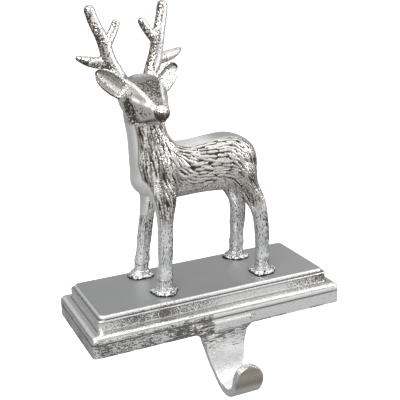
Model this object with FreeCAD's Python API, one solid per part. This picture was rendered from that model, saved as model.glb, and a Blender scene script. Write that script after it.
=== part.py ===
import FreeCAD, Part
import math
import os

# Mantel stocking holder: a cast reindeer welded to a stepped plinth with a stocking hook.
# Millimetres. +Z is up, +X runs along the plinth and -Y faces the room. The origin is the
# middle of the plane that rests on the mantel shelf, so the hook hangs below it, in front
# of the shelf. The reindeer stands along X with its chest to -X and its head to the room.

V = FreeCAD.Vector

# Plinth: a wide lower tier, a narrower upper tier and a raised top panel
plinth_length = 150.0
plinth_depth = 64.0
lower_height = 11.8
upper_height = 6.2
panel_height = 2.1
tier_inset = 5.4
panel_inset = 1.2
lower_edge_radius = 3.0
upper_edge_radius = 0.7
panel_edge_radius = 1.7
cove_radius = 1.3
corner_radius = 2.6
groove_depth = 0.5
groove_width = 0.7
lower_groove_z = 7.9

# Underside: a stepped recess, closed by a sheet of felt that is glued to the rim and stays
# behind the hook, so that both lie clear of the shelf's edge
plinth_wall = 5.0
felt_thickness = 1.0
felt_gap_to_hook = 0.5

# Hook: a tapering strap cast in one with the plinth's front edge
hook_root_width = 34.6
hook_strap_width = 25.5
hook_throat_width = 17.0
hook_thickness = 4.5
hook_drop = 30.5
hook_reach = 28.5
hook_tip_reach = 12.5
hook_tip_height = 21.7
hook_straight = 3.0
hook_corner_radius = 1.2
hook_set_in = 1.0

# Reindeer: where it stands and the main measures of its body
figure_y = 3.0
front_foot_x = -26.0
rear_foot_x = 35.2
leg_half_spread = 14.5
far_leg_lead = 3.5
leg_radius = 4.15
leg_length = 48.0
body_half_depth = 16.7
body_half_width = 15.0
rump_x = 38.2

# Head, turned square to the body, with its ears and antlers
head_x = -27.6
neck_rise = 11.5
head_height = 26.0
head_half_width = 13.2
head_length = 40.0
nose_radius = 4.2
ear_length = 18.6
ear_width = 11.2
antler_rise = 34.0
antler_half_spread = 20.5
antler_radius = 3.3

# Carved hair: shallow almond-shaped cuts in rows along the coat
hair_length = 7.5
hair_width = 1.7
hair_depth = 0.55
hair_row_spacing = 2.9

# Filler metal that joins each hoof to the plinth
weld_reach = 2.6
weld_height = 2.2

plinth_top = lower_height + upper_height + panel_height
plinth_half_length = plinth_length / 2
plinth_half_depth = plinth_depth / 2
belly_z = plinth_top + leg_length
spine_z = belly_z + 2 * body_half_depth
head_base_z = spine_z + neck_rise


# General shapes
def ring(centre, across, upward, half_across, half_up, power=2.0, pinch=0.0, count=16, crown=None):
    """A closed smooth outline. Power above 2 squares it, crown does so for its upper side
    alone, and pinch narrows its lower side."""
    points = []
    for i in range(count):
        turn = 2 * math.pi * i / count
        c, s = math.cos(turn), math.sin(turn)
        bend = crown if crown and s > 0 else power
        side = math.copysign(abs(c) ** (2 / bend), c)
        rise = math.copysign(abs(s) ** (2 / bend), s)
        narrow = 1 - pinch * max(0.0, -s)
        points.append(centre + across * (half_across * side * narrow) + upward * (half_up * rise))
    curve = Part.BSplineCurve()
    curve.interpolate(Points=points, PeriodicFlag=True)
    return Part.Wire([curve.toShape()])


def limb(path, radii, facing=V(0, 1, 0), flat=1.0):
    """A round tapering limb along a path of points, with a radius at each point."""
    wires = []
    for i, point in enumerate(path):
        before, after = path[max(i - 1, 0)], path[min(i + 1, len(path) - 1)]
        along = (after - before).normalize()
        across = facing.cross(along).normalize()
        upward = along.cross(across).normalize()
        wires.append(ring(point, across, upward, radii[i], radii[i] * flat, count=10))
    return Part.makeLoft(wires, True, False)


def even_path(path, radii, count=9):
    """The path and radii of a limb, taken at even steps along a smooth line."""
    line = Part.BSplineCurve()
    line.interpolate(Points=path)
    knots = line.parameterAtDistance
    total = line.length()
    points, widths = [], []
    for i in range(count):
        share = i / (count - 1)
        points.append(line.value(knots(share * total, line.FirstParameter)))
        place = share * (len(radii) - 1)
        k = min(int(place), len(radii) - 2)
        widths.append(radii[k] + (radii[k + 1] - radii[k]) * (place - k))
    return points, widths


def round_end(path, radii):
    """The path and radii of a limb with a domed end added past its last point."""
    along = (path[-1] - path[-2]).normalize()
    last = radii[-1]
    path, radii = list(path), list(radii)
    base = path[-1]
    for degrees in (30, 55, 75):
        angle = math.radians(degrees)
        path.append(base + along * (last * math.sin(angle)))
        radii.append(last * math.cos(angle))
    return path, radii


def ellipsoid(centre, half_x, half_y, half_z, roll=None):
    """An ellipsoid; roll is a rotation applied about its centre."""
    ball = Part.makeSphere(1.0)
    scale = FreeCAD.Matrix()
    scale.scale(V(half_x, half_y, half_z))
    ball = ball.transformGeometry(scale)
    ball.Placement = FreeCAD.Placement(centre, roll or FreeCAD.Rotation())
    return ball


# Plinth
def rounded_block(inset, z_low, z_high, radius=corner_radius):
    """A block with the plinth's outline moved in by inset, its four upright edges rounded."""
    length, depth = plinth_length - 2 * inset, plinth_depth - 2 * inset
    block = Part.makeBox(length, depth, z_high - z_low, V(-length / 2, -depth / 2, z_low))
    upright = [e for e in block.Edges if abs(e.tangentAt(e.FirstParameter).z) > 0.99]
    return block.makeFillet(radius, upright)


def edges_at(shape, z, inset=None):
    """The level edges at height z, or only those on the outline moved in by inset."""
    found = []
    for edge in shape.Edges:
        box = edge.BoundBox
        if abs(box.ZMin - z) > 1e-4 or abs(box.ZMax - z) > 1e-4:
            continue
        if inset is not None:
            reach_x = max(abs(box.XMin), abs(box.XMax))
            reach_y = max(abs(box.YMin), abs(box.YMax))
            on_x = abs(reach_x - (plinth_half_length - inset)) < 1e-3
            on_y = abs(reach_y - (plinth_half_depth - inset)) < 1e-3
            if not (on_x or on_y):
                continue
        found.append(edge)
    return found


def groove_frame(inset, z_low, z_high):
    """A thin frame that cuts a line round the outside of a tier."""
    outer = rounded_block(inset - 1.0, z_low, z_high)
    return outer.cut(rounded_block(inset + groove_depth, z_low - 1.0, z_high + 1.0))


def make_tiers():
    """The three tiers, with a cove at the foot of the upper one and a rounded edge on each."""
    upper_top = lower_height + upper_height
    lower = rounded_block(0, 0, lower_height)
    lower = lower.makeFillet(lower_edge_radius, edges_at(lower, lower_height))
    lower = lower.cut(groove_frame(0, lower_groove_z - groove_width, lower_groove_z))
    upper = rounded_block(tier_inset, lower_height - 1.0, upper_top)
    upper = upper.makeFillet(upper_edge_radius, edges_at(upper, upper_top))
    panel_total_inset = tier_inset + panel_inset
    panel = rounded_block(panel_total_inset, upper_top - 1.0, plinth_top, 3.6)
    panel = panel.makeFillet(panel_edge_radius, edges_at(panel, plinth_top))
    tiers = lower.fuse([upper, panel]).removeSplitter()
    return tiers.makeFillet(cove_radius, edges_at(tiers, lower_height, tier_inset))


def make_recess():
    """The stepped recess under the plinth, which keeps its walls even."""
    wide = rounded_block(plinth_wall, -1.0, lower_height - plinth_wall)
    narrow = rounded_block(tier_inset + plinth_wall, -1.0, plinth_top - plinth_wall)
    return wide.fuse(narrow)


# Hook
def strap_outline(centre, along, width, thickness):
    """A rounded rectangle across the strap: width runs along X."""
    across = V(1, 0, 0)
    outward = across.cross(along)
    r = min(hook_corner_radius, thickness * 0.45, width * 0.45)
    half_w, half_t = width / 2 - r, thickness / 2 - r
    bow = r * math.sqrt(0.5)
    edges = []
    corners = [(1, 1), (-1, 1), (-1, -1), (1, -1)]

    def at(a, b):
        return centre + across * a + outward * b

    for k, (i, j) in enumerate(corners):
        side = at(i * (half_w + r), j * half_t)
        face = at(i * half_w, j * (half_t + r))
        middle = at(i * (half_w + bow), j * (half_t + bow))
        start, stop = (side, face) if k % 2 == 0 else (face, side)
        edges.append(Part.Arc(start, middle, stop).toShape())
        i2, j2 = corners[(k + 1) % 4]
        if k % 2 == 0:
            edges.append(Part.makeLine(face, at(i2 * half_w, j2 * (half_t + r))))
        else:
            edges.append(Part.makeLine(side, at(i2 * (half_w + r), j2 * half_t)))
    return Part.Wire(edges)


def make_hook():
    """The strap: down in front of the shelf, round a wide bend and up to a rounded tip."""
    back_y = -plinth_half_depth + hook_set_in
    floor_z = -hook_drop + hook_thickness / 2
    bottom_y = back_y - hook_reach + hook_tip_reach
    tip_half = hook_throat_width / 2
    taper = hook_strap_width - hook_throat_width
    spread = hook_root_width - hook_strap_width
    line, widths = [], []
    # root: height against the plinth's lower edge, and share of the flare
    for z, share in ((5.0, 1.0), (1.0, 1.0), (-0.8, 0.60), (-2.0, 0.34)):
        line.append(V(0, back_y, z))
        widths.append(hook_strap_width + spread * share)
    # strap: a long quarter turn that leans forward as it drops
    turns = ((4, 0.99, 0.14), (15, 0.84, 0.0), (30, 0.52, 0.0), (45, 0.22, 0.0), (60, 0.06, 0.0),
             (75, 0.01, 0.0), (90, 0.0, 0.0))
    for degrees, share, flare in turns:
        a = math.radians(degrees)
        y = bottom_y + (back_y - bottom_y) * math.cos(a)
        z = -hook_straight + (floor_z + hook_straight) * math.sin(a)
        line.append(V(0, y, z))
        widths.append(hook_throat_width + taper * share + spread * flare)
    # tip: a tighter quarter turn, then a half round end
    bend_top = floor_z + hook_tip_reach
    for degrees in (108, 126, 144, 162):
        a = math.radians(degrees)
        y = bottom_y + hook_tip_reach * math.cos(a)
        line.append(V(0, y, bend_top - hook_tip_reach * math.sin(a)))
        widths.append(hook_throat_width)
    crown = -hook_drop + hook_tip_height - tip_half
    for degrees in (0, 25, 45, 62, 76):
        a = math.radians(degrees)
        line.append(V(0, bottom_y - hook_tip_reach, crown + tip_half * math.sin(a)))
        widths.append(hook_throat_width * math.cos(a))
    wires = []
    for i, point in enumerate(line):
        along = (line[min(i + 1, len(line) - 1)] - line[max(i - 1, 0)]).normalize()
        wires.append(strap_outline(point, along, widths[i], hook_thickness))
    return Part.makeLoft(wires, True, False)


# Reindeer
def body_ring(x, z, tilt, half_depth, half_width, power=2.25, pinch=0.12, crown=None):
    """An outline across the body; tilt turns it from upright to level as the spine rises."""
    t = math.radians(tilt)
    dorsal = V(math.sin(t), 0, math.cos(t))
    middle = V(x, figure_y, z)
    return ring(middle, V(0, 1, 0), dorsal, half_width, half_depth, power, pinch, crown=crown)


def make_barrel():
    """Rump, barrel and a rounded chest."""
    d, w = body_half_depth, body_half_width
    mid = belly_z + d
    stations = [
        # x, z, tilt, half depth, half width
        (rump_x - 0.2, mid - 2.5, 0, 0.16 * d, 0.16 * w),
        (rump_x - 0.9, mid - 2.2, 0, 0.40 * d, 0.40 * w),
        (rump_x - 2.9, mid - 1.6, 0, 0.64 * d, 0.62 * w),
        (rump_x - 7.0, mid - 0.6, 0, 0.82 * d, 0.82 * w),
        (rump_x - 13.0, mid + 0.2, 0, 0.94 * d, 0.96 * w),
        (rump_x - 21.5, mid + 0.4, 0, 0.96 * d, 1.00 * w),
        (rump_x - 34.0, mid + 0.2, 0, 0.91 * d, 0.96 * w),
        (rump_x - 47.0, mid - 0.2, 8, 0.92 * d, 0.97 * w),
        (-16.5, mid + 0.4, 14, 0.96 * d, 0.99 * w),
        (-24.0, mid + 1.8, 20, 0.92 * d, 0.92 * w),
        (-29.2, mid + 3.0, 24, 0.78 * d, 0.78 * w),
        (-32.4, mid + 4.0, 28, 0.56 * d, 0.56 * w),
        (-33.9, mid + 4.4, 30, 0.28 * d, 0.28 * w),
    ]
    return Part.makeLoft([body_ring(*s, crown=3.0) for s in stations], True, False)


def make_neck():
    """The neck, from inside the chest up into the head, with a flat front band."""
    d, w = body_half_depth, body_half_width
    mid = belly_z + d
    stations = [
        (-20.5, mid + 1.0, 40, 0.86 * d, 0.84 * w),
        (-23.3, mid + 7.2, 52, 0.90 * d, 0.84 * w),
        (-25.2, mid + 15.6, 68, 0.72 * d, 0.70 * w),
        (-26.6, mid + 25.4, 86, 0.63 * d, 0.61 * w),
        (-27.2, mid + 35.0, 90, 0.64 * d, 0.64 * w),
    ]
    return Part.makeLoft([body_ring(*s, power=2.6, pinch=0.0) for s in stations], True, False)


def make_leg(foot_x, side, stations):
    """A leg from the plinth into the body: share of leg length, x, inward lean, half x, half y."""
    wires = []
    for share, x, inward, half_x, half_y in stations:
        centre = V(foot_x + x, figure_y + side * (leg_half_spread - inward), plinth_top + share * leg_length)
        across, upward = V(1, 0, 0), V(0, 1, 0)
        wires.append(ring(centre, across, upward, leg_radius * half_x, leg_radius * half_y, 2.2))
    return Part.makeLoft(wires, True, False)


def hoof_stations(lean):
    """Hoof, pastern and fetlock, shared by all four legs; lean is the drift over a whole leg."""
    return [
        (0.0, 0.0, 0.0, 1.26, 1.20),
        (0.055, 0.055 * lean, 0.0, 1.20, 1.15),
        (0.10, 0.10 * lean, 0.0, 1.02, 1.00),
        (0.15, 0.15 * lean, 0.0, 1.03, 1.01),
        (0.19, 0.19 * lean, 0.0, 1.10, 1.08),
        (0.24, 0.24 * lean, 0.0, 1.02, 1.00),
    ]


def make_front_leg(side):
    """A straight front leg that widens into the shoulder."""
    lead = far_leg_lead if side > 0 else 0.0
    lean = 3.4 + 1.15 * lead
    upper = [
        (0.45, 0.45 * lean, 0.2, 1.0, 0.98),
        (0.70, 0.70 * lean, 0.8, 0.99, 1.02),
        (0.88, 0.88 * lean, 1.6, 1.12, 1.22),
        (1.00, 1.00 * lean, 2.6, 1.42, 1.46),
        (1.12, 1.02 * lean, 4.0, 1.78, 1.60),
        (1.30, 1.04 * lean + 0.4, 6.0, 1.92, 1.48),
        (1.50, 1.04 * lean + 1.8, 9.0, 1.3, 0.9),
    ]
    return make_leg(front_foot_x - lead, side, hoof_stations(lean) + upper)


def make_rear_leg(side):
    """A rear leg with a hock and a haunch that runs up into the rump."""
    lead = 0.75 * far_leg_lead if side > 0 else 0.0
    heavy = 1.12 if side > 0 else 1.0
    lean = 1.3 * lead
    shift = 0.72 * lead
    upper = [
        (0.45, 0.3 + 0.6 * shift, 0.2, 1.0 * heavy, 1.0),
        (0.66, -0.1 + shift, 0.8, 1.03 * heavy, 1.04),
        (0.80, -1.2 + shift, 1.5, 1.20 * heavy, 1.14),
        (0.93, -3.8 + shift, 2.3, 1.55 * heavy, 1.30),
        (1.03, -6.3 + shift, 3.2, 1.74 * heavy, 1.42),
        (1.18, -9.0 + shift, 4.4, 2.0, 1.55),
        (1.36, -11.6 + shift, 5.9, 2.05, 1.5),
        (1.56, -14.4 + shift, 8.8, 1.4, 0.9),
    ]
    return make_leg(rear_foot_x - lead, side, hoof_stations(lean) + upper)


def make_head():
    """Skull and muzzle: outlines across the head from behind it to the nose."""
    stations = [
        # share of length from the back, half width, bottom and top as shares of height, power
        (0.00, 0.20, 0.42, 0.62, 2.0),
        (0.025, 0.46, 0.28, 0.78, 2.05),
        (0.075, 0.70, 0.16, 0.90, 2.1),
        (0.16, 0.90, 0.06, 0.98, 2.15),
        (0.28, 1.00, 0.00, 1.01, 2.2),
        (0.38, 0.97, 0.00, 0.99, 2.25),
        (0.48, 0.87, 0.03, 0.93, 2.3),
        (0.60, 0.70, 0.06, 0.82, 2.5),
        (0.73, 0.52, 0.08, 0.68, 2.7),
        (0.86, 0.39, 0.12, 0.56, 2.6),
        (0.95, 0.30, 0.17, 0.50, 2.3),
        (1.00, 0.16, 0.26, 0.42, 2.0),
    ]
    back_y = figure_y + 0.275 * head_length
    wires = []
    for share, half_width, low, high, power in stations:
        y = back_y - share * head_length
        centre = V(head_x, y, head_base_z + head_height * (low + high) / 2)
        half_up = head_height * (high - low) / 2
        half_across = head_half_width * half_width
        wires.append(ring(centre, V(1, 0, 0), V(0, 0, 1), half_across, half_up, power, 0.2))
    return Part.makeLoft(wires, True, False)


def make_ear(side):
    """A broad leaf with a hollow front."""
    direction = V(side * 13.3, 5.8, 11.4).normalize()
    base = V(head_x + side * (head_half_width - 4.6), figure_y - 1.0, head_base_z + 0.60 * head_height)
    middle = base + direction * (0.52 * ear_length)
    turn = FreeCAD.Rotation(direction, V(0, 0, 1), V(0, -1, 0.2), "XZY")
    leaf = ellipsoid(middle, 0.54 * ear_length, 2.9, 0.5 * ear_width, turn)
    front = middle + V(side * 0.4, -2.5, 0.6) + direction * 0.6
    return leaf.cut(ellipsoid(front, 0.41 * ear_length, 2.6, 0.35 * ear_width, turn))


def make_antler(side):
    """Beam and main tine, an inner prong and a low outer prong."""
    base_z = head_base_z + head_height
    k = antler_rise / 34.0
    spread = antler_half_spread / 20.5

    def at(lateral, back, rise):
        return V(head_x + side * lateral * spread, figure_y + back, base_z + rise * k)

    r = antler_radius
    beam = [at(8.0, 8.0, -5), at(11.4, 10.6, 3.0), at(13.6, 11.6, 9.0),
            at(15.0, 11.8, 15.6), at(18.2, 14.3, 25.0), at(20.4, 16.2, 33.0)]
    radii = [1.36 * r, 1.26 * r, 1.14 * r, 1.06 * r, 0.94 * r, 0.92 * r]
    inner = [at(14.6, 11.2, 14.6), at(11.6, 12.2, 18.6), at(9.0, 13.2, 22.5), at(7.4, 13.7, 25.6)]
    inner_radii = [0.9 * r, 0.82 * r, 0.74 * r, 0.70 * r]
    low = [at(13.6, 12.2, 5.6), at(18.0, 12.6, 6.0), at(23.1, 13.3, 7.0), at(28.6, 15.2, 9.0)]
    low_radii = [1.1 * r, 0.98 * r, 0.84 * r, 0.50 * r]
    shapes = []
    for path, widths in ((beam, radii), (inner, inner_radii), (low, low_radii)):
        path, widths = round_end(*even_path(path, widths))
        shapes.append(limb(path, widths))
    return shapes


def almond(place, along, outward):
    """A slender cutter that leaves a shallow almond-shaped hollow where it meets the coat."""
    half_length, half_width, depth = hair_length / 2, hair_width / 2, hair_depth
    across = along.cross(outward).normalize()
    inward = outward * -depth
    rim = outward * (0.9 * depth)
    tips = [place + along * half_length + rim, place - along * half_length + rim]
    sides = [place + across * half_width * 1.5 + rim, place - across * half_width * 1.5 + rim]
    keel = [place + along * (0.45 * half_length) + inward, place - along * (0.45 * half_length) + inward]
    faces = []
    for tip, bottom in ((tips[0], keel[0]), (tips[1], keel[1])):
        for flank in sides:
            faces.append(Part.Face(Part.makePolygon([tip, flank, bottom, tip])))
    for flank in sides:
        faces.append(Part.Face(Part.makePolygon([flank, keel[0], keel[1], flank])))
    faces.append(Part.Face(Part.makePolygon([tips[0], sides[0], tips[1], sides[1], tips[0]])))
    return Part.Solid(Part.Shell(faces))


def hair_cutters(side):
    """Rows of cuts: level along the flank, sloping on the haunch and upright on the neck."""
    cutters = []
    middle = belly_z + body_half_depth
    # flank
    rows = int(1.25 * body_half_depth / hair_row_spacing)
    columns = int((rump_x + 14.0) / (1.15 * hair_length))
    for row in range(rows):
        rise = (row - (rows - 1) / 2) * hair_row_spacing
        height = rise / body_half_depth
        for column in range(columns):
            x = -8.0 + (column + 0.5 * (row % 2)) * 1.15 * hair_length
            wave = 0.16 * math.sin(0.21 * x + 0.7 * row)
            lean = math.asin(min(0.95, max(-0.95, height)))
            outward = V(0, side * math.cos(lean), math.sin(lean))
            power = 3.0 if height > 0 else 2.25
            bulge = (1 - abs(height) ** power) ** (1 / power)
            y = figure_y + side * 0.965 * body_half_width * bulge * (1 + 0.12 * min(0, height))
            along = V(1, 0, wave + 0.1)
            along = (along - outward * along.dot(outward)).normalize()
            cutters.append(almond(V(x, y, middle + rise), along, outward))
    # neck
    for row in range(5):
        for column in range(3):
            share = (row + 0.5 * (column % 2)) / 5
            z = middle + 9.0 + share * 22.0
            turn = math.radians(-26 + 34 * column)
            outward = V(math.sin(turn), side * math.cos(turn), 0)
            half_x, half_y = 0.68 * body_half_depth, (0.74 - 0.14 * share) * body_half_width
            x = -22.4 - 4.0 * share + half_x * math.sin(turn)
            y = figure_y + side * half_y * math.cos(turn) ** 0.6
            along = V(-0.22 * (1 - share), 0, 1).normalize()
            along = (along - outward * along.dot(outward)).normalize()
            cutters.append(almond(V(x, y, z), along, outward))
    return cutters


def make_figure():
    """The whole casting, fused piece by piece."""
    nose_y = figure_y + 0.275 * head_length - 0.965 * head_length
    head = make_head()
    head = head.fuse(Part.makeSphere(nose_radius, V(head_x, nose_y, head_base_z + 0.385 * head_height)))
    for side in (-1, 1):
        eye = V(head_x + side * 5.6, figure_y - 18.2, head_base_z + 0.60 * head_height)
        head = head.fuse(ellipsoid(eye, 1.9, 3.4, 1.7))
        head = head.fuse(make_ear(side))
        beam, inner, low = make_antler(side)
        head = head.fuse(beam.fuse(inner).fuse(low))
    cutters = hair_cutters(-1) + hair_cutters(1)
    body = make_barrel().fuse(make_neck()).cut(cutters)
    for leg in (make_front_leg(-1), make_front_leg(1), make_rear_leg(-1), make_rear_leg(1)):
        body = body.fuse(leg)
    return body.fuse(head)


def make_welds(figure):
    """A low uneven collar of filler metal round each hoof."""
    collars = []
    feet = []
    for side in (-1, 1):
        y = figure_y + side * leg_half_spread
        lead = far_leg_lead if side > 0 else 0.0
        feet.append(V(front_foot_x - lead, y, plinth_top))
        feet.append(V(rear_foot_x - 0.75 * lead, y, plinth_top))
    for k, foot in enumerate(feet):
        wires = []
        for rise, grow in ((0.0, 1.0), (0.35, 0.92), (0.75, 0.6), (1.0, 0.2)):
            points = []
            for i in range(18):
                turn = 2 * math.pi * i / 18
                wobble = 1 + 0.22 * math.sin(3 * turn + 1.7 * k) + 0.16 * math.cos(5 * turn - k)
                reach = leg_radius * 1.22 + weld_reach * grow * wobble
                points.append(foot + V(reach * math.cos(turn), reach * math.sin(turn), weld_height * rise))
            curve = Part.BSplineCurve()
            curve.interpolate(Points=points, PeriodicFlag=True)
            wires.append(Part.Wire([curve.toShape()]))
        collars.append(Part.makeLoft(wires, True, False).cut(figure))
    return Part.makeCompound(collars)


plinth = make_tiers().cut(make_recess()).fuse(make_hook())
felt_inset = hook_set_in + hook_thickness / 2 + felt_gap_to_hook
felt = rounded_block(felt_inset, -felt_thickness, 0.0)
figure = make_figure()
welds = make_welds(figure)

os.makedirs("parts", exist_ok=True)
pieces = {"plinth_with_hook": plinth, "reindeer_figure": figure, "hoof_welds": welds, "felt_sheet": felt}
for name, shape in pieces.items():
    shape.translate(V(0, 0, felt_thickness))
    shape.exportStep("parts/" + name + ".step")
    print(name, shape.isValid(), len(shape.Solids), round(shape.Volume), len(shape.Faces))
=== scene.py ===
import math
import random

import bmesh
import bpy
import numpy as np
from mathutils import Matrix, Vector, kdtree, noise


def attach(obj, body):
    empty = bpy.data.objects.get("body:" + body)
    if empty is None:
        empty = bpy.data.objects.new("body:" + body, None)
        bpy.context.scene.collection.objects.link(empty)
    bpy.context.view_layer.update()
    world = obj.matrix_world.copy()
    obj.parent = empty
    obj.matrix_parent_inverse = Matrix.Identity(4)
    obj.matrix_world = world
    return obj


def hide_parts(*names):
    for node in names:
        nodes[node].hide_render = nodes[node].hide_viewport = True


# A cast reindeer on a stepped plinth with a stocking hook: the reindeer's fine carving and
# antique finish, the lumps of the welds, the plinth's worn finish, the camera and the stage.

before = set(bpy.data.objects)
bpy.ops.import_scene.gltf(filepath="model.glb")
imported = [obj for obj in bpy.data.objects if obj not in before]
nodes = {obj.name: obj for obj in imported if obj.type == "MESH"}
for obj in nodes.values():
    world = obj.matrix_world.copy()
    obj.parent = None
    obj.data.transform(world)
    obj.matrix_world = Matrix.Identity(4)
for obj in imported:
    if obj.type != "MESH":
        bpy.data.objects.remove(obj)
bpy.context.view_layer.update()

MM = 0.001
LIFT = 1.0  # the felt sheet lifts the plinth's rim this far, in mm

# Camera fitted to the photograph's plinth: place in mm, angles in degrees
CAMERA_PLACE = (-173.02, -396.58, 203.53 + LIFT)
CAMERA_AZIMUTH = -23.858
CAMERA_ELEVATION = 17.646
CAMERA_ROLL = -2.116
CAMERA_LENS = 72.76
SENSOR_WIDTH = 36.0

# Stage, in metres
FLOOR_HALF = 12.0
FLOOR_DEPTH = 0.16
OBJECT_MIDDLE = (0, 0, 0.07)

# Colours of the metals
BRIGHT_SILVER = (0.96, 0.945, 0.92)
LEG_SILVER = (0.84, 0.85, 0.855)
BAND_SILVER = (0.88, 0.88, 0.875)
# The dark wash of the antique finish, also used for the dark pits and the painted shade on the figure
DARK_WASH_AND_SHADE = (0.070, 0.056, 0.036)
PLINTH_SILVER = (0.97, 0.97, 0.965)
# A darker, cooler copy of the plinth silver, painted shade for the faces at the left end
SHADED_END_SILVER = (0.93, 0.945, 0.96)
PLINTH_PITS = (0.10, 0.092, 0.08)
HOOK_TIP = (0.50, 0.46, 0.40)
# The top panel's satin grey, with painted shade that darkens it towards the left end
PANEL_LEFT = (0.375, 0.38, 0.385)
PANEL_RIGHT = (0.45, 0.45, 0.45)
SATIN = (0.50, 0.50, 0.50)
FILLER = (0.72, 0.73, 0.74)
FLUX = (0.03, 0.03, 0.028)

# Places on the plinth and the welds, in mm, with heights measured from the shelf
PLINTH_HALF_LENGTH = 75.0
RIM_Z = LIFT
TIER_SPLIT = (12.6, 12.9)
PANEL_Z = 20.4
HOOK_FADE = (-22.0, 2.0)
HOOK_ROOT = (1.5, 5.0)
HOOK_ROOT_HALF_WIDTH = 16.5
HOOK_TIP_Y = (-60.2, -61.4)
WELD_FOOT = (21.1, 22.3)

# Creases of the mouldings: height above the rim, how dark and how far up and down, in mm,
# laid out on a ramp that spans the plinth's height from the shelf
CREASES = ((7.5, 1.0, 0.7), (10.4, 0.7, 0.5), (12.1, 1.0, 0.6), (16.9, 0.7, 0.5), (18.1, 1.0, 0.5))
CREASE_SPAN = 22.0

# How pitted the plinth is: along its length on each tier, and up the hook
UPPER_PATCHES = [(0.05, 0.20), (0.12, 1.0), (0.20, 1.0), (0.24, 0.7), (0.29, 1.4), (0.34, 0.85),
                 (0.44, 0.9), (0.52, 0.05), (0.76, 0.05), (0.84, 0.95), (0.96, 1.3)]
LOWER_PATCHES = [(0.0, 0.85), (0.10, 0.90), (0.30, 1.0), (0.38, 1.3), (0.45, 1.3), (0.465, 0.0),
                 (0.57, 0.05), (0.62, 0.35), (0.72, 0.05), (0.85, 0.05), (0.92, 0.25)]
HOOK_PATCHES = [(0.0, 0.0), (0.35, 0.12), (0.6, 0.5), (0.85, 0.9), (1.0, 1.0)]

# The surround's brightness by height, in front of the object and behind it
FRONT_GLOW = [(0.0, 0.30), (0.28, 0.45), (0.46, 0.92), (0.60, 0.48), (0.78, 0.65), (0.92, 0.95), (1.0, 1.0)]
BACK_GLOW = [(0.0, 0.26), (0.30, 0.36), (0.50, 0.30), (0.65, 0.50), (0.80, 0.70), (0.92, 0.95)]

# Places on the figure, in mm with the felt's lift taken off
FIGURE_Y = 3.0
HEAD_X = -27.6
CHIN_Z = 113.5
# Shoulder and haunch: painted shade on the hairs' crests there, and heavier pitting
SHOULDER = ((-18.5, 0.0, 74.0), (8.0, 1.0, 14.0))
HAUNCH = ((29.0, 0.0, 76.0), (9.0, 1.0, 15.0))
HOOF_LINES = (27.6, 24.6)
HOOF_REACH = (21.0, 34.0)

# Places on the head, with X measured from its middle plane: paths, and middles with reaches
NOSE = (0.0, -24.6, 123.0)
NOSE_RADIUS = 4.2
EYE_BEAD = ((5.6, -18.2, 128.6), (2.6, 3.2, 2.4))
BROW = ((8.4, -1.0, 135.2), (6.2, -11.0, 132.3), (4.6, -17.0, 129.8), (3.0, -22.0, 126.9))
LOWER_LID = ((9.6, -9.0, 127.8), (7.6, -14.5, 126.3), (5.4, -19.0, 125.4), (3.9, -22.5, 124.6))
UPPER_LID = ((6.9, -12.2, 130.2), (1.8, 2.8, 1.5))
LID_SHADE = ((6.9, -12.4, 130.4), (1.5, 2.4, 1.2))
EYE_HOLLOW = ((7.4, -14.5, 129.3), (3.0, 5.0, 1.6))
EYE_SLIT = ((7.0, -16.0, 129.5), (5.2, -19.6, 128.0))
# The mouth's path: a shallow groove, drawn dark as painted shadow under the jaw
MOUTH = ((2.6, -25.2, 119.7), (4.1, -20.9, 118.8), (4.7, -13.0, 116.8), (4.9, -6.5, 115.3),
         (6.4, -5.0, 115.5))
CHEEK_HOLLOW = ((9.5, -9.0, 124.0), (4.0, 6.0, 4.0))
CHEEK = ((10.6, -6.0, 124.5), (4.6, 4.8, 8.0))
JAW = ((9.0, -4.0, 117.5), (4.0, 4.5, 3.6))
MUZZLE = ((6.5, -16.0, 122.2), (4.0, 7.5, 3.4))
FOREHEAD_Y = -1.2
FOREHEAD_Z = 137.6
FOREHEAD_SLOPE = 0.50

# The ears: root from the head's middle plane, directions, and the leaf's half width along it
EAR_ROOT = (8.6, 2.0, 128.6)
EAR_AXIS = (13.3, 5.8, 11.4)
EAR_FACING = (0.38, -0.87, 0.30)
EAR_LENGTH = 20.6
EAR_RISE = 0.9
EAR_SHARES = (-0.2, 0.0, 0.15, 0.35, 0.6, 0.8, 0.92, 1.0)
EAR_HALF_WIDTHS = (2.6, 3.8, 5.2, 5.8, 5.6, 4.5, 2.8, 0.5)

# The smooth band down the chest and along the back: its half width by height
BAND_HEIGHTS = (60.0, 68.0, 77.0, 84.0, 92.0, 116.0)
BAND_HALF_WIDTHS = (15.6, 15.2, 13.2, 9.0, 7.4, 7.2)
BACK_HALF_WIDTH = 7.2

# The coat, by place along X: the hair's slope below +X in degrees, and each hair's size
COAT_X = (-34.0, -21.0, -15.0, -9.0, -1.0, 14.0, 19.0, 25.0, 34.0)
COAT_SLOPE = (86.0, 80.0, 62.0, 30.0, 8.0, 3.0, 26.0, 54.0, 64.0)
HAIR_LENGTH = (9.0, 8.5, 8.0, 6.6, 5.6, 5.6, 6.0, 8.0, 8.0)
HAIR_WIDTH = (1.2, 1.2, 1.35, 1.6, 1.75, 1.75, 1.5, 1.15, 1.15)
HAIR_DEPTH = 0.45
COAT_FOOT = 55.0
HAIR_SEED = 11
HAIR_TRIES = 24000

# Size of the even skin's cells, in mm
FIGURE_SKIN = 0.55
WELD_SKIN = 0.32


# Small helpers for shader nodes
def new_material(name):
    """A node material with its Principled shader."""
    material = bpy.data.materials.new(name)
    material.use_nodes = True
    return material, material.node_tree, material.node_tree.nodes["Principled BSDF"]


def add(tree, kind, **values):
    """A node with some of its inputs or properties set."""
    node = tree.nodes.new(kind)
    for key, value in values.items():
        if key in node.inputs:
            node.inputs[key].default_value = value
        else:
            setattr(node, key, value)
    return node


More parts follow.
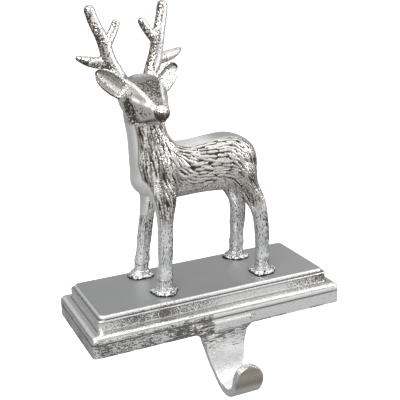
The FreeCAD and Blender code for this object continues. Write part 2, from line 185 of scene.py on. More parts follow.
def ramp(tree, source, stops):
    """A grey ramp fed by source; stops are (position, grey)."""
    node = tree.nodes.new("ShaderNodeValToRGB")
    elements = node.color_ramp.elements
    while len(elements) < len(stops):
        elements.new(0.5)
    for element, (position, grey) in zip(elements, stops):
        element.position = position
        element.color = (grey, grey, grey, 1.0)
    tree.links.new(source, node.inputs["Fac"])
    return node.outputs["Color"]


def mapped(tree, scale=(1, 1, 1)):
    """Object coordinates, stretched."""
    coordinates = tree.nodes.new("ShaderNodeTexCoord")
    mapping = add(tree, "ShaderNodeMapping", Scale=scale)
    tree.links.new(coordinates.outputs["Object"], mapping.inputs["Vector"])
    return mapping.outputs["Vector"]


def axes_of(tree, output):
    """The X, Y and Z of one output of the texture coordinates."""
    coordinates = tree.nodes.new("ShaderNodeTexCoord")
    axes = tree.nodes.new("ShaderNodeSeparateXYZ")
    tree.links.new(coordinates.outputs[output], axes.inputs["Vector"])
    return axes.outputs


def noise_at(tree, vector, scale, detail, roughness, distortion=0.0):
    """A noise texture's factor."""
    node = add(tree, "ShaderNodeTexNoise", Scale=scale, Detail=detail, Roughness=roughness,
               Distortion=distortion)
    tree.links.new(vector, node.inputs["Vector"])
    return node.outputs["Fac"]


def maths(tree, operation, a, b=None, c=None, clamp=False):
    """A math node on sockets or numbers."""
    node = add(tree, "ShaderNodeMath", operation=operation, use_clamp=clamp)
    for socket, value in zip(node.inputs, (a, b, c)):
        if isinstance(value, (int, float)):
            socket.default_value = value
        elif value is not None:
            tree.links.new(value, socket)
    return node.outputs["Value"]


def times(tree, a, b):
    """The product of two values."""
    return maths(tree, "MULTIPLY", a, b)


def larger(tree, a, b):
    """The larger of two values."""
    return maths(tree, "MAXIMUM", a, b)


def rest_of(tree, a):
    """1 less a value, held between 0 and 1."""
    return maths(tree, "SUBTRACT", 1.0, a, clamp=True)


def share_between(tree, source, low, high):
    """How far a value has come from low to high, from 0 to 1."""
    node = tree.nodes.new("ShaderNodeMapRange")
    node.inputs["From Min"].default_value = low
    node.inputs["From Max"].default_value = high
    tree.links.new(source, node.inputs["Value"])
    return node.outputs["Result"]


def share_of(tree, source, low, high):
    """How far a coordinate in metres has come from low to high, both in mm."""
    return share_between(tree, source, low * MM, high * MM)


def mix(tree, factor, a, b):
    """Mixes two colours, or the outputs of nodes, by a factor."""
    node = add(tree, "ShaderNodeMix", data_type="RGBA", clamp_factor=True)
    for socket, value in ((node.inputs[0], factor), (node.inputs[6], a), (node.inputs[7], b)):
        if isinstance(value, tuple):
            socket.default_value = (*value, 1.0)
        else:
            tree.links.new(value, socket)
    return node.outputs[2]


def bump(tree, height, distance, strength):
    """A bumpy normal; distance in metres."""
    node = add(tree, "ShaderNodeBump", Distance=distance, Strength=strength)
    tree.links.new(height, node.inputs["Height"])
    return node.outputs["Normal"]


# Metals and felt
def figure_metal():
    """Bright cast silver, pebbled. The tone attribute gives the wash in the carving and painted
    shade (red), the share of dark pits (green), the smooth pale band (blue) and the legs' grain (alpha)."""
    material, tree, shader = new_material("figure_metal")
    links = tree.links
    even = mapped(tree)
    upright = mapped(tree, (1.0, 1.0, 0.22))
    pebble = noise_at(tree, even, 1050.0, 0.8, 0.5)
    grain = noise_at(tree, upright, 2500.0, 0.5, 0.5)
    cloud = noise_at(tree, even, 85.0, 3.0, 0.5)
    tone = add(tree, "ShaderNodeAttribute", attribute_name="tone")
    parts = add(tree, "ShaderNodeSeparateColor")
    links.new(tone.outputs["Color"], parts.inputs["Color"])
    # The red tone holds the wash in the carving together with painted shade
    carved, pitted, band = (parts.outputs[name] for name in ("Red", "Green", "Blue"))
    legs = tone.outputs["Alpha"]
    grit = mix(tree, legs, pebble, grain)
    patchy = times(tree, pitted, ramp(tree, cloud, [(0.36, 0.6), (0.6, 1.1)]))
    limit = maths(tree, "MULTIPLY_ADD", patchy, 0.26, 0.30)
    pits = ramp(tree, maths(tree, "SUBTRACT", limit, grit), [(0.0, 0.0), (0.05, 1.0)])
    pits = times(tree, pits, ramp(tree, pitted, [(0.0, 0.0), (0.06, 0.94)]))
    silver = mix(tree, legs, BRIGHT_SILVER, LEG_SILVER)
    silver = mix(tree, band, silver, BAND_SILVER)
    links.new(mix(tree, larger(tree, carved, pits), silver, DARK_WASH_AND_SHADE), shader.inputs["Base Color"])
    shader.inputs["Metallic"].default_value = 1.0
    rough = mix(tree, band, ramp(tree, grit, [(0.35, 0.40), (0.6, 0.22)]), SATIN)
    links.new(rough, shader.inputs["Roughness"])
    height = times(tree, grit, maths(tree, "ADD", pitted, 0.15))
    links.new(bump(tree, height, 0.0005, 0.8), shader.inputs["Normal"])
    return material


def worn_patches(tree, position, facing, cloud, tier, below):
    """How pitted each place of the plinth is: by place along X on each tier, and by height
    on the hook; less on level faces."""
    along = share_of(tree, position["X"], -PLINTH_HALF_LENGTH, PLINTH_HALF_LENGTH)
    upper = ramp(tree, along, UPPER_PATCHES)
    lower = ramp(tree, along, LOWER_PATCHES)
    hook = ramp(tree, share_of(tree, position["Z"], *HOOK_FADE), HOOK_PATCHES)
    density = mix(tree, below, mix(tree, tier, lower, upper), hook)
    upright = rest_of(tree, maths(tree, "ABSOLUTE", facing["Z"]))
    density = times(tree, density, ramp(tree, upright, [(0.5, 0.25), (0.95, 1.0)]))
    return times(tree, density, ramp(tree, cloud, [(0.35, 0.6), (0.62, 1.1)]))


def dark_lines(tree, position, cloud, below):
    """Dark lines in the creases of the mouldings, and ragged ones where the hook leaves them
    and along the bottom edge."""
    stops = [(0.0, 0.0)]
    for height, depth, reach in CREASES:
        middle = (height + LIFT) / CREASE_SPAN
        half = reach / CREASE_SPAN
        stops += [(middle - half, 0.0), (middle, depth), (middle + half, 0.0)]
    line = ramp(tree, share_of(tree, position["Z"], 0.0, CREASE_SPAN), stops)
    ragged = maths(tree, "MULTIPLY_ADD", cloud, 0.006, position["Z"])
    rise = share_of(tree, ragged, *HOOK_ROOT)
    root = ramp(tree, rise, [(0.30, 0.0), (0.42, 1.0), (0.52, 1.0), (0.62, 0.0)])
    beside = maths(tree, "ABSOLUTE", position["X"])
    at_root = maths(tree, "LESS_THAN", beside, HOOK_ROOT_HALF_WIDTH * MM)
    line = larger(tree, line, times(tree, root, at_root))
    rim = ramp(tree, share_of(tree, position["Z"], RIM_Z, RIM_Z + 2.0), [(0.0, 0.9), (0.3, 0.7), (0.6, 0.0)])
    rim = times(tree, rim, rest_of(tree, below))
    rim = times(tree, rim, ramp(tree, cloud, [(0.44, 0.0), (0.54, 1.0)]))
    return larger(tree, line, rim)


def plinth_metal():
    """Hand-buffed casting: satin grey top panel, bright mouldings, and pitted dark patches
    where the buffing wheel missed. Tiers are told apart by height, patches by place along X."""
    material, tree, shader = new_material("plinth_metal")
    links = tree.links
    even = mapped(tree)
    streak = noise_at(tree, mapped(tree, (0.12, 1.0, 1.0)), 2000.0, 0.3, 0.5)
    pits = noise_at(tree, even, 1700.0, 0.6, 0.5)
    cloud = noise_at(tree, even, 90.0, 4.0, 0.55)
    position = axes_of(tree, "Object")
    facing = axes_of(tree, "Normal")
    high = maths(tree, "GREATER_THAN", position["Z"], PANEL_Z * MM)
    level = maths(tree, "GREATER_THAN", facing["Z"], 0.93)
    top = times(tree, high, level)
    tier = share_of(tree, position["Z"], *TIER_SPLIT)
    below = share_of(tree, position["Z"], RIM_Z, 0.0)

    density = worn_patches(tree, position, facing, cloud, tier, below)
    grit = mix(tree, ramp(tree, tier, [(0.0, 0.55), (1.0, 0.15)]), pits, streak)
    limit = maths(tree, "MULTIPLY_ADD", density, 0.25, 0.35)
    speck = ramp(tree, maths(tree, "SUBTRACT", limit, grit), [(0.0, 0.0), (0.09, 1.0)])
    speck = larger(tree, speck, dark_lines(tree, position, cloud, below))

    # Painted shade: faces turned towards the left end take the darker, cooler silver
    end = share_between(tree, facing["X"], -0.5, -0.9)
    sides = mix(tree, end, PLINTH_SILVER, SHADED_END_SILVER)
    sides = mix(tree, times(tree, speck, 0.90), sides, PLINTH_PITS)
    sides = mix(tree, share_of(tree, position["Y"], *HOOK_TIP_Y), sides, HOOK_TIP)
    # Painted shade across the top panel: its grey darkens towards the left end
    along = share_of(tree, position["X"], -PLINTH_HALF_LENGTH, PLINTH_HALF_LENGTH)
    panel = mix(tree, along, PANEL_LEFT, PANEL_RIGHT)
    links.new(mix(tree, top, sides, panel), shader.inputs["Base Color"])
    shader.inputs["Metallic"].default_value = 1.0
    rough = ramp(tree, grit, [(0.35, 0.40), (0.6, 0.24)])
    links.new(mix(tree, top, rough, SATIN), shader.inputs["Roughness"])
    height = times(tree, grit, rest_of(tree, times(tree, top, 0.9)))
    height = times(tree, height, maths(tree, "ADD", density, 0.25))
    links.new(bump(tree, height, 0.0003, 0.7), shader.inputs["Normal"])
    return material


def weld_metal():
    """Rough light filler with black flux in its pits and along its foot."""
    material, tree, shader = new_material("weld_metal")
    links = tree.links
    even = mapped(tree)
    lumps = noise_at(tree, even, 520.0, 4.0, 0.7, 1.0)
    grit = noise_at(tree, even, 1500.0, 3.0, 0.6)
    rise = share_of(tree, axes_of(tree, "Object")["Z"], *WELD_FOOT)
    foot = ramp(tree, rise, [(0.0, 0.34), (0.5, 0.16), (1.0, 0.03)])
    flux = ramp(tree, maths(tree, "SUBTRACT", lumps, foot), [(0.39, 1.0), (0.45, 0.0)])
    flux = larger(tree, flux, ramp(tree, grit, [(0.34, 0.8), (0.40, 0.0)]))
    links.new(mix(tree, flux, FILLER, FLUX), shader.inputs["Base Color"])
    shader.inputs["Metallic"].default_value = 1.0
    shader.inputs["Roughness"].default_value = 0.42
    links.new(bump(tree, maths(tree, "ADD", lumps, grit), 0.0005, 0.8), shader.inputs["Normal"])
    return material


def felt():
    """Dark felt with a short nap."""
    material, tree, shader = new_material("felt")
    links = tree.links
    fibre = noise_at(tree, mapped(tree), 2600.0, 6.0, 0.7, 1.5)
    links.new(ramp(tree, fibre, [(0.3, 0.02), (0.7, 0.07)]), shader.inputs["Base Color"])
    shader.inputs["Roughness"].default_value = 0.95
    shader.inputs["Sheen Weight"].default_value = 0.3
    links.new(bump(tree, fibre, 0.0003, 0.7), shader.inputs["Normal"])
    return material


# Meshes
def copy_of(node, name):
    """A new object with a copy of a CAD node's mesh."""
    source = nodes[node]
    mesh = source.data.copy()
    mesh.name = name
    mesh.materials.clear()
    piece = bpy.data.objects.new(name, mesh)
    bpy.context.collection.objects.link(piece)
    piece.matrix_world = source.matrix_world.copy()
    return piece


def apply_modifiers(piece):
    """Turns the piece's modifiers into its mesh."""
    depsgraph = bpy.context.evaluated_depsgraph_get()
    mesh = bpy.data.meshes.new_from_object(piece.evaluated_get(depsgraph))
    piece.modifiers.clear()
    piece.data = mesh


def remesh(piece, size_mm):
    """Rebuilds the mesh as one even skin."""
    modifier = piece.modifiers.new("skin", "REMESH")
    modifier.mode = "VOXEL"
    modifier.voxel_size = size_mm * MM
    modifier.use_smooth_shade = True
    apply_modifiers(piece)


def smooth(piece, rounds):
    """Relaxes the mesh."""
    modifier = piece.modifiers.new("relax", "SMOOTH")
    modifier.iterations = rounds
    modifier.factor = 0.5
    apply_modifiers(piece)


def dress(piece, material):
    """Shades the whole piece smooth, in one material."""
    for polygon in piece.data.polygons:
        polygon.use_smooth = True
    piece.data.materials.append(material)


# Fields: a value for each point of a mesh
def smoothstep(low, high, value):
    """0 below low, 1 above high, and an even rise between."""
    t = np.clip((value - low) / (high - low), 0.0, 1.0)
    return t * t * (3 - 2 * t)


def unit(vector):
    """The vector at length 1."""
    return np.asarray(vector, float) / np.linalg.norm(vector)


def blob(points, centre, reach):
    """1 at centre, fading out over reach in X, Y and Z."""
    away = (points - np.array(centre)) / np.array(reach)
    return np.exp(-(away ** 2).sum(1))


def stroke(points, path, width):
    """1 along a path of points, fading out over width."""
    nearest = np.full(len(points), 1e9)
    for start, stop in zip(path[:-1], path[1:]):
        start, run = np.array(start), np.array(stop) - np.array(start)
        share = np.clip((points - start) @ run / (run @ run), 0, 1)
        nearest = np.minimum(nearest, ((points - start - share[:, None] * run) ** 2).sum(1))
    return np.exp(-nearest / width ** 2)


def read_points(mesh):
    """The mesh's points and normals, in mm with the lift taken off."""
    points, normals = np.empty(len(mesh.vertices) * 3), np.empty(len(mesh.vertices) * 3)
    mesh.vertices.foreach_get("co", points)
    mesh.vertices.foreach_get("normal", normals)
    points, normals = points.reshape(-1, 3) / MM, normals.reshape(-1, 3)
    points[:, 2] -= LIFT
    return points, normals


def write_points(mesh, points):
    """Puts the points back into the mesh."""
    lifted = points + np.array((0, 0, LIFT))
    mesh.vertices.foreach_set("co", (lifted * MM).ravel())
    mesh.update()


def relax(mesh, points, share, rounds):
    """Evens out the skin where share is above 0."""
    ends = np.empty(len(mesh.edges) * 2, int)
    mesh.edges.foreach_get("vertices", ends)
    first, second = ends.reshape(-1, 2).T
    keep = (share[first] > 0.01) | (share[second] > 0.01)
    first, second = first[keep], second[keep]
    count = len(points)
    links = np.bincount(first, minlength=count) + np.bincount(second, minlength=count)
    links = np.maximum(links, 1)
    for _ in range(rounds):
        for axis in range(3):
            column = points[:, axis]
            total = np.bincount(first, column[second], count) + np.bincount(second, column[first], count)
            shift = (total / links - column) * 0.5 * share
            points[:, axis] = column + np.where(share > 0.01, shift, 0)


# Ears
def ear_frame(side):
    """The ear's root, and its directions: along it, out of its hollow and across it downwards."""
    along = unit((side * EAR_AXIS[0], EAR_AXIS[1], EAR_AXIS[2]))
    facing = np.array((side * EAR_FACING[0], EAR_FACING[1], EAR_FACING[2]))
    out = unit(facing - along * facing.dot(along))
    down = np.cross(out, along) * -side
    return np.array((HEAD_X + side * EAR_ROOT[0], EAR_ROOT[1], EAR_ROOT[2])), along, out, down


def make_ear_leaf(side):
    """A cupped leaf with a rolled rim, as a closed mesh in mm."""
    root, along, out, down = ear_frame(side)
    rings, across = 24, 14
    corners, faces = [], []
    for i in range(rings):
        share = -0.15 + 1.15 * i / (rings - 1)
        half = float(np.interp(share, EAR_SHARES, EAR_HALF_WIDTHS))
        middle = root + along * (share * EAR_LENGTH) - down * EAR_RISE
        sweep = np.linspace(-1, 1, across)
        rim = 1.1 * np.exp(-((np.abs(sweep) - 0.84) / 0.14) ** 2)
        cup = -2.3 * (1 - smoothstep(0.35, 0.82, np.abs(sweep))) * min(1.0, half / 4)
        front = [middle + down * (half * t) + out * (r + c) for t, r, c in zip(sweep, rim, cup)]
        shell = 0.5 + 2.9 * np.sqrt(np.maximum(0, 1 - sweep ** 2)) * min(1.0, half / 4)
        back = [middle + down * (half * t) - out * d for t, d in zip(sweep[::-1], shell[::-1])]
        corners += front + back
    total = 2 * across
    for i in range(rings - 1):
        for j in range(total):
            k = (j + 1) % total
            faces.append((i * total + j, i * total + k, (i + 1) * total + k, (i + 1) * total + j))
    faces.append(tuple(range(total - 1, -1, -1)))
    faces.append(tuple((rings - 1) * total + j for j in range(total)))
    return corners, faces


def fit_ears(piece):
    """Draws the plain ears into the head and puts the cupped leaves in their place."""
    mesh = piece.data
    points = read_points(mesh)[0]
    for side in (-1, 1):
        root, along = ear_frame(side)[:2]
        away = points - root
        reach = away @ along
        behind = away[:, 1]
        beside = np.abs(away @ np.cross(along, (0, -1, 0.2)))
        inside = (reach > 4.0) & (reach < 22) & (beside < 4.2) & (behind < 4.6 + 0.314 * reach)
        inside &= (points[:, 0] - HEAD_X) * side > 10.5
        points[inside] -= along * (reach[inside] * 0.9)[:, None]
    write_points(mesh, points)
    build = bmesh.new()
    build.from_mesh(mesh)
    for side in (-1, 1):
        corners, faces = make_ear_leaf(side)
        made = [build.verts.new((c + np.array((0, 0, LIFT))) * MM) for c in corners]
        for face in faces:
            build.faces.new([made[i] for i in face])
    bmesh.ops.recalc_face_normals(build, faces=build.faces)
    build.to_mesh(mesh)
    build.free()


def ear_tones(points, dark, pits):
    """A dark hollow with a bright lower wall, and a rim that is dark at its tip and foot."""
    for side in (-1, 1):
        root, along, out, down = ear_frame(side)
        away = points - root
        share = away @ along / EAR_LENGTH
        forward = away @ out
        lower = away @ down + EAR_RISE
        half = np.interp(share, EAR_SHARES, EAR_HALF_WIDTHS)
        on_ear = (share > 0.12) & (share < 1.08) & (np.abs(lower) < half + 0.8) & (np.abs(forward) < 4.2)
        on_ear &= (points[:, 0] - HEAD_X) * side > 8.0
        across = lower / half
        hollow = (np.abs(across) < 0.78) & (forward > -2.6)
        roof = smoothstep(0.15, -0.12, across) * smoothstep(0.10, 0.25, share)
        inner_dark = np.where(hollow, 0.60 * roof, 0.0)
        line = np.exp(-((across + 0.70) / 0.09) ** 2) * (forward > -2.0)
        rim = (np.abs(across) > 0.78) | (share > 0.93)
        low_rim = rim * np.maximum(smoothstep(0.76, 0.88, across), smoothstep(0.80, 0.90, share))
        value = np.maximum(np.maximum(inner_dark, 0.85 * line), 0.92 * low_rim)
        dark[:] = np.where(on_ear, value, dark)
        pits[:] = np.where(on_ear, np.where(hollow, 0.30, 0.40), pits)


# Head
def mirror_places(points):
    """Places on the head, with X measured from its middle plane on either side."""
    folded = points.copy()
    folded[:, 0] = np.abs(points[:, 0] - HEAD_X)
    return folded


def carve_head(mesh, points):
    """Flat forehead, brow ridges, eyes and mouth, cut or raised along the normals."""
    normals = read_points(mesh)[1]
    folded = mirror_places(points)
    head = smoothstep(CHIN_Z, CHIN_Z + 2.0, points[:, 2])
    flat = FOREHEAD_Z + FOREHEAD_SLOPE * (points[:, 1] - FOREHEAD_Y)
    over = np.maximum(points[:, 2] - flat, 0) * (folded[:, 0] < 10) * smoothstep(3.0, -3.0, points[:, 1])
    points[:, 2] -= 0.9 * over * smoothstep(-21.0, -18.5, points[:, 1])
    raised = 0.95 * stroke(folded, BROW, 1.35) + 1.0 * stroke(folded, LOWER_LID, 1.35)
    raised += 0.9 * blob(folded, *UPPER_LID)
    sunk = 0.7 * blob(folded, *EYE_HOLLOW)
    sunk += 0.6 * stroke(folded, EYE_SLIT, 0.6) + 0.55 * stroke(folded, MOUTH, 0.8)
    sunk += 0.6 * blob(folded, *CHEEK_HOLLOW)
    points += normals * ((raised - sunk) * head)[:, None]


def head_tones(points, normals):
    """How dark and how pitted each place of the head is, and where it is smooth."""
    folded = mirror_places(points)
    lateral, depth, height = folded.T
    edge = np.clip(8.3 + 0.29 * depth, 1.8, 8.6)
    fore = smoothstep(edge + 0.5, edge - 0.3, lateral) * smoothstep(0.25, 0.5, normals[:, 2])
    fore = fore * (height > 126.5)
    crown = fore * smoothstep(-4.5, -2.5, depth)
    dark = 0.52 * fore + 0.22 * crown
    pits = 0.25 + 0.95 * fore * (1 - crown)
    cheek = blob(folded, *CHEEK) + blob(folded, *JAW)
    dark = np.maximum(dark, 0.06 * np.clip(cheek, 0, 1))
    pits = np.maximum(pits, np.maximum(np.clip(1.6 * cheek, 0, 1.3), 0.9 * blob(folded, *MUZZLE)))
    bright = np.clip(stroke(folded, BROW, 1.5) + 1.3 * stroke(folded, LOWER_LID, 1.6), 0, 1) * (1 - fore)
    dark, pits = dark * (1 - bright), pits * (1 - bright)
    dark = np.maximum(dark, 0.16 * blob(folded, *LID_SHADE))
    # The eye slit is dark; the mouth line's dark is painted shadow under the jaw
    slit, mouth = stroke(folded, EYE_SLIT, 0.66), stroke(folded, MOUTH, 1.0)
    dark = np.maximum(dark, np.maximum(0.95 * slit, 0.95 * mouth))
    ball = (folded - np.array(NOSE)) / NOSE_RADIUS
    on_ball = (np.linalg.norm(ball, axis=1) < 1.14) & (ball[:, 1] < -0.1)
    under = smoothstep(0.50, 0.0, ball[:, 2]) * smoothstep(-0.2, 0.2, ball[:, 0])
    dark = np.where(on_ball, 0.92 * under, dark)
    pits = np.where(on_ball, 1.1 * smoothstep(0.7, 0.2, ball[:, 2]), pits)
    return dark, pits, crown


# Coat
def coat_share(points, normals):
    """How far each point belongs to the carved coat, to the smooth band and to the belly."""
    x, y, z = points.T
    beside = np.abs(y - FIGURE_Y)
    half = np.interp(z, BAND_HEIGHTS, BAND_HALF_WIDTHS)
    front = smoothstep(half + 0.6, half - 0.6, beside) * ((normals[:, 0] < -0.30) & (x < -21))
    back = smoothstep(BACK_HALF_WIDTH + 0.9, BACK_HALF_WIDTH - 0.9, beside)
    back = back * ((normals[:, 2] > 0.3) & (z > 88))
    rump = smoothstep(5.5, 4.5, beside) * ((normals[:, 0] > 0.5) & (x > 30))
    band = np.maximum(np.maximum(front, back), rump)
    inner = smoothstep(7.5, 6.0, beside) * (z < 71)
    under = smoothstep(-0.35, -0.65, normals[:, 2]) * ((x > -14) & (x < 24))
    share = smoothstep(COAT_FOOT, COAT_FOOT + 10.0, z) * smoothstep(CHIN_Z + 0.5, CHIN_Z - 1.0, z)
    return share * (1 - band) * (1 - inner) * (1 - under), band, under


def seed_hairs(points, normals, share, dice):
    """Hairs spread over the coat so that each keeps clear of its neighbours."""
    candidates = list(np.nonzero(share > 0.25)[0])
    dice.shuffle(candidates)
    cell = max(HAIR_LENGTH)
    bins, hairs = {}, []
    for index in candidates[:HAIR_TRIES]:
        place, normal = points[index], normals[index]
        low = float(smoothstep(72.0, 64.0, place[2]))
        slope = float(np.interp(place[0], COAT_X, COAT_SLOPE))
        slope = math.radians(slope + (88.0 - slope) * low + dice.uniform(-8, 8))
        length = float(np.interp(place[0], COAT_X, HAIR_LENGTH))
        width = float(np.interp(place[0], COAT_X, HAIR_WIDTH))
        along = np.array((math.cos(slope), 0.0, -math.sin(slope)))
        along -= normal * along.dot(normal)
        if np.linalg.norm(along) < 0.2:
            continue
        along = unit(along)
        across = np.cross(normal, along)
        key = tuple((place // cell).astype(int))
        near = [other for step in np.ndindex(3, 3, 3)
                for other in bins.get((key[0] + step[0] - 1, key[1] + step[1] - 1, key[2] + step[2] - 1), ())]
        if near:
            gaps = np.array(near) - place
            reach = (gaps @ along / (length * 0.76)) ** 2 + (gaps @ across / (width * 0.90)) ** 2
            if ((reach < 1) & (np.abs(gaps @ normal) < 4)).any():
                continue
        bins.setdefault(key, []).append(place)
        length *= dice.uniform(0.85, 1.25)
        width *= dice.uniform(0.85, 1.15)
        hairs.append((place, along, across, length, width, dice.random()))
    return hairs


def carve_coat(points, normals, share):
    """Cuts the grooves between the hairs; gives the grooves and a shade for each hair."""
    dice = random.Random(HAIR_SEED)
    tree = kdtree.KDTree(len(points))
    for index, point in enumerate(points):
        tree.insert(point, index)
    tree.balance()
    crest, shade = np.zeros(len(points)), np.zeros(len(points))
    for place, along, across, length, width, tone in seed_hairs(points, normals, share, dice):
        found = np.array([index for co, index, distance in tree.find_range(place, length * 0.60)])
        gap = points[found] - place
        run = gap @ along / (0.58 * length)
        taper = np.maximum(1 - run * run, 1e-3) ** 0.75
        offset = np.abs(gap @ across) / (0.56 * width * taper)
        height = np.where((np.abs(run) < 1) & (offset < 1), 1 - offset ** 2, 0)
        better = height > crest[found]
        crest[found] = np.where(better, height, crest[found])
        shade[found] = np.where(better, tone, shade[found])
    points -= normals * (HAIR_DEPTH * smoothstep(0.80, 0.05, crest) * share)[:, None]
    return smoothstep(0.64, 0.20, crest), shade


def coat_tones(points, normals, coat, hooves, legs):
    """How dark and how pitted each place below the head is."""
    share, band, under, groove, shade = coat
    x, y, z = points.T
    level = points * (1, 0, 1)
    shoulder, haunch = blob(level, *SHOULDER), blob(level, *HAUNCH)
    neck = smoothstep(-12.0, -20.0, x) * (z < CHIN_Z)
    # Some hairs are darker at random, more of them on the neck; the shoulder and haunch terms are painted
    # shade
    crest_dark = 0.16 * (shade < 0.25) + 0.36 * shoulder + 0.60 * haunch + 0.40 * neck * (shade < 0.33)
    hoof_dark = 0.62 * hooves * (z > HOOF_REACH[0]) * (z < HOOF_REACH[1])
    # Painted shade on the leg faces turned towards the other legs
    between = smoothstep(0.2, 0.8, normals[:, 1] * np.sign(FIGURE_Y - y)) * legs
    border = 4 * band * (1 - band) * (x < -10) * (1 - legs)
    dark = groove * share + (1 - groove) * share * crest_dark
    for shaded in (0.30 * under, hoof_dark, 0.16 * between + 0.06 * legs * (x > 0), 0.75 * border,
                   0.50 * band * smoothstep(2.0, 16.0, x)):
        dark = np.maximum(dark, shaded)
    grained = 0.32 + 0.40 * smoothstep(-0.3, 0.5, normals[:, 0]) + 0.40 * smoothstep(34.0, 60.0, z)
    rough = np.clip(neck + haunch + 0.5 * shoulder, 0, 1)
    pits = (0.06 + 0.42 * rough) * share + 0.50 * under + legs * grained
    return np.clip(dark, 0, 1), np.clip(pits, 0, 1)


# Pieces
def soften(mesh, points, normals):
    """Evens out the chest and neck, and rounds the eyes."""
    x, z = points[:, 0], points[:, 2]
    ease = (normals[:, 0] < 0.2) * (x < -15) * smoothstep(60, 68, z) * smoothstep(113, 108, z)
    relax(mesh, points, ease, 60)
    beads = np.clip(2.5 * blob(mirror_places(points), *EYE_BEAD), 0, 1)
    relax(mesh, points, beads, 80)
    write_points(mesh, points)


def cut_hooves(points, normals):
    """Two fine lines round each hoof; gives how deep in them each point lies."""
    x, z = points[:, 0], points[:, 2]
    upper = np.exp(-((z - HOOF_LINES[0] - 0.35 * np.sin(1.3 * x)) / 0.5) ** 2)
    lower = np.exp(-((z - HOOF_LINES[1]) / 0.45) ** 2)
    hooves = upper + 0.6 * lower
    points -= normals * (0.28 * hooves * (z > HOOF_REACH[0]))[:, None]
    return hooves


def make_figure():
    """The reindeer as one skin with softened joints, carved hair and a cast surface."""
    piece = copy_of("reindeer_figure", "reindeer_figure_cast")
    fit_ears(piece)
    remesh(piece, FIGURE_SKIN)
    smooth(piece, 3)
    mesh = piece.data
    points, normals = read_points(mesh)
    soften(mesh, points, normals)
    carve_head(mesh, points)
    write_points(mesh, points)
    points, normals = read_points(mesh)
    share, band, under = coat_share(points, normals)
    groove, shade = carve_coat(points, normals, share)
    head = smoothstep(CHIN_Z - 0.5, CHIN_Z + 1.5, points[:, 2])
    legs = smoothstep(64.0, 54.0, points[:, 2])
    hooves = cut_hooves(points, normals)
    write_points(mesh, points)

    dark, pits, crown = head_tones(points, normals)
    antlers = smoothstep(137.5, 140.0, points[:, 2])
    away_side = smoothstep(0.25, -0.65, normals[:, 0])
    dark = dark * (1 - antlers) + (0.10 + 0.25 * away_side) * antlers
    pits = pits * (1 - antlers) + (0.34 + 0.80 * away_side) * antlers
    ear_tones(points, dark, pits)
    coat_dark, coat_pits = coat_tones(points, normals, (share, band, under, groove, shade), hooves, legs)
    above = points[:, 2] > CHIN_Z + 0.5
    dark, pits = np.where(above, dark, coat_dark), np.where(above, pits, coat_pits)
    values = np.stack([dark, pits, np.maximum(band * (1 - head), crown), legs], 1)
    colours = mesh.color_attributes.new("tone", "FLOAT_COLOR", "POINT")
    colours.data.foreach_set("color", values.ravel())
    dress(piece, figure_metal())
    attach(piece, "root")
    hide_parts("reindeer_figure")
    print("figure faces", len(mesh.polygons))


def make_welds():
    """The filler round the hooves, with its lumps."""
    piece = copy_of("hoof_welds", "hoof_welds_lumpy")
    remesh(piece, WELD_SKIN)
    mesh = piece.data
    points, normals = read_points(mesh)
    low, high = points.min(0), points.max(0)
    lumps = [noise.noise(point * 0.9) + 0.6 * noise.noise(point * 2.1) for point in map(Vector, points)]
    points += normals * (0.45 * np.array(lumps) * (points[:, 2] > low[2] + 0.3))[:, None]
    write_points(mesh, np.clip(points, low, high))
    dress(piece, weld_metal())
    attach(piece, "root")
    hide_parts("hoof_welds")
    print("weld faces", len(mesh.polygons))


def dress_node(node, material):
    """A carried-over CAD node with a new material."""
    item = nodes[node]
    item.data.materials.clear()
    item.data.materials.append(material)


# Stage
def area_light(name, location, size, power):
    """A soft rectangular light that shines on the object; lengths in metres."""
    data = bpy.data.lights.new(name, "AREA")
    data.shape = "RECTANGLE"
    data.size, data.size_y = size
    data.energy = power
    lamp = bpy.data.objects.new(name, data)
    bpy.context.collection.objects.link(lamp)
    lamp.location = location
    lamp.rotation_euler = (Vector(OBJECT_MIDDLE) - Vector(location)).to_track_quat("-Z", "Y").to_euler()


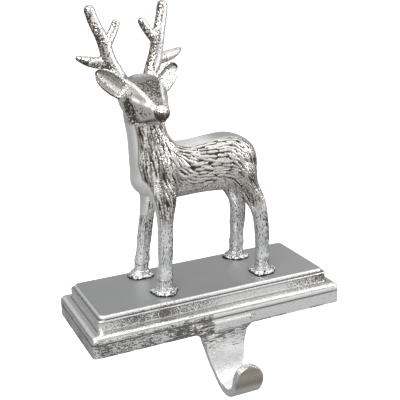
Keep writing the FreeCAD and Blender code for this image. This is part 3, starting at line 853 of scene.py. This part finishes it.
def make_camera():
    """The camera, at the photograph's place."""
    a, e, r = (math.radians(v) for v in (CAMERA_AZIMUTH, CAMERA_ELEVATION, CAMERA_ROLL))
    back = Vector((math.sin(a) * math.cos(e), -math.cos(a) * math.cos(e), math.sin(e)))
    right = Vector((math.cos(a), math.sin(a), 0))
    up = back.cross(right)
    across = right * math.cos(r) + up * math.sin(r)
    upward = up * math.cos(r) - right * math.sin(r)
    data = bpy.data.cameras.new("camera")
    data.lens = CAMERA_LENS
    data.sensor_width = SENSOR_WIDTH
    data.clip_start = 0.01
    camera = bpy.data.objects.new("camera", data)
    bpy.context.collection.objects.link(camera)
    turn = Matrix((across, upward, back)).transposed().to_4x4()
    camera.matrix_world = Matrix.Translation(Vector(CAMERA_PLACE) * MM) @ turn
    bpy.context.scene.camera = camera


def make_floor():
    """A pale floor, well below the hook."""
    mesh = bpy.data.meshes.new("floor")
    corners = [(x * FLOOR_HALF, y * FLOOR_HALF, 0) for x, y in ((-1, -1), (1, -1), (1, 1), (-1, 1))]
    mesh.from_pydata(corners, [], [(0, 1, 2, 3)])
    floor = bpy.data.objects.new("floor", mesh)
    floor.location = (0, 0, -FLOOR_DEPTH)
    floor.visible_glossy = False
    bpy.context.collection.objects.link(floor)
    material, _, shader = new_material("floor")
    shader.inputs["Base Color"].default_value = (0.95, 0.95, 0.95, 1)
    shader.inputs["Roughness"].default_value = 0.9
    shader.inputs["Emission Color"].default_value = (1, 1, 1, 1)
    shader.inputs["Emission Strength"].default_value = 0.6
    mesh.materials.append(material)


def make_surround():
    """A soft surround for the reflections, plain white where it is seen."""
    world = bpy.data.worlds.new("surround")
    bpy.context.scene.world = world
    world.use_nodes = True
    tree = world.node_tree
    background = tree.nodes["Background"]
    direction = axes_of(tree, "Generated")
    rise, depth = (share_between(tree, direction[axis], -1.0, 1.0) for axis in ("Z", "Y"))
    glow = mix(tree, ramp(tree, depth, [(0.35, 0.0), (0.75, 1.0)]), ramp(tree, rise, FRONT_GLOW),
               ramp(tree, rise, BACK_GLOW))
    path = tree.nodes.new("ShaderNodeLightPath")
    seen = mix(tree, path.outputs["Is Camera Ray"], glow, (1.0, 1.0, 1.0))
    tree.links.new(seen, background.inputs["Color"])
    background.inputs["Strength"].default_value = 1.0


make_figure()
make_welds()
dress_node("plinth_with_hook", plinth_metal())
dress_node("felt_sheet", felt())
make_camera()
make_floor()
make_surround()
area_light("key", (-0.45, -0.45, 0.85), (0.50, 0.50), 11)
area_light("right", (0.75, -0.45, 0.45), (0.2, 0.6), 3)
bpy.context.scene.view_settings.view_transform = "Standard"
